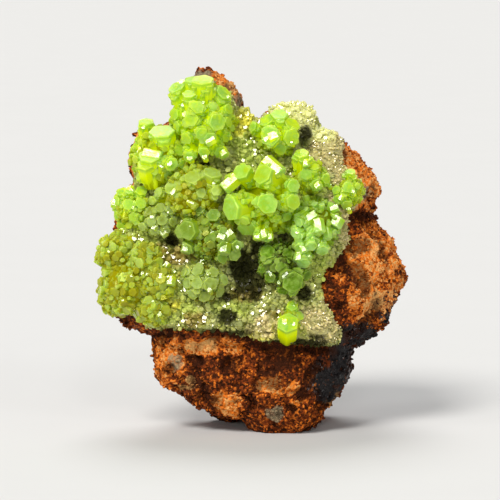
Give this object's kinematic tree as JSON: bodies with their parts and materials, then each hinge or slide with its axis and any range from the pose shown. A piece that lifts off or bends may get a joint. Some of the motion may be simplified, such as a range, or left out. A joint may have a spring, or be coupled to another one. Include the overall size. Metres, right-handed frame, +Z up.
{
  "type": "mineral specimen",
  "caption": "Upright natural specimen: clusters of yellow-green six-sided pyromorphite crystals and a druse crust on a rusty limonite matrix with a flat foot.",
  "frame": {"origin": "on the ground, under the middle of the specimen's bounding box", "axes": "+Z up, +X to the right of the crystal-covered face, which looks towards -Y"},
  "size_m": [0.059, 0.0394, 0.0696],
  "materials": {
    "limonite_matrix": "earthy, dull, crumbly",
    "druse_crust": "fine sparkling crust",
    "centre_cluster": "translucent, resinous to glassy",
    "crown_cluster": "translucent, resinous to glassy",
    "spray_cluster": "translucent, resinous to glassy",
    "lower_spray_cluster": "translucent, resinous to glassy",
    "inner_cluster": "translucent, resinous to glassy",
    "shoulder_cluster": "translucent, resinous to glassy",
    "arch_cluster": "translucent, resinous to glassy",
    "upper_cluster": "translucent, resinous to glassy",
    "right_shoulder_cluster": "translucent, resinous to glassy",
    "edge_sprig": "translucent, resinous to glassy",
    "lone_barrel": "translucent, resinous to glassy",
    "left_rosette": "translucent, resinous to glassy",
    "mid_left_cluster": "translucent, resinous to glassy",
    "lower_rosette": "translucent, resinous to glassy",
    "left_botryoid": "translucent, resinous to glassy"
  },
  "bodies": {
    "root": {"limonite_matrix": "limonite_matrix", "druse_crust": "druse_crust", "centre_cluster": "centre_cluster", "crown_cluster": "crown_cluster", "spray_cluster": "spray_cluster", "lower_spray_cluster": "lower_spray_cluster", "inner_cluster": "inner_cluster", "shoulder_cluster": "shoulder_cluster", "arch_cluster": "arch_cluster", "upper_cluster": "upper_cluster", "right_shoulder_cluster": "right_shoulder_cluster", "edge_sprig": "edge_sprig", "lone_barrel": "lone_barrel", "left_rosette": "left_rosette", "mid_left_cluster": "mid_left_cluster", "lower_rosette": "lower_rosette", "left_botryoid": "left_botryoid"}
  },
  "joints": []
}
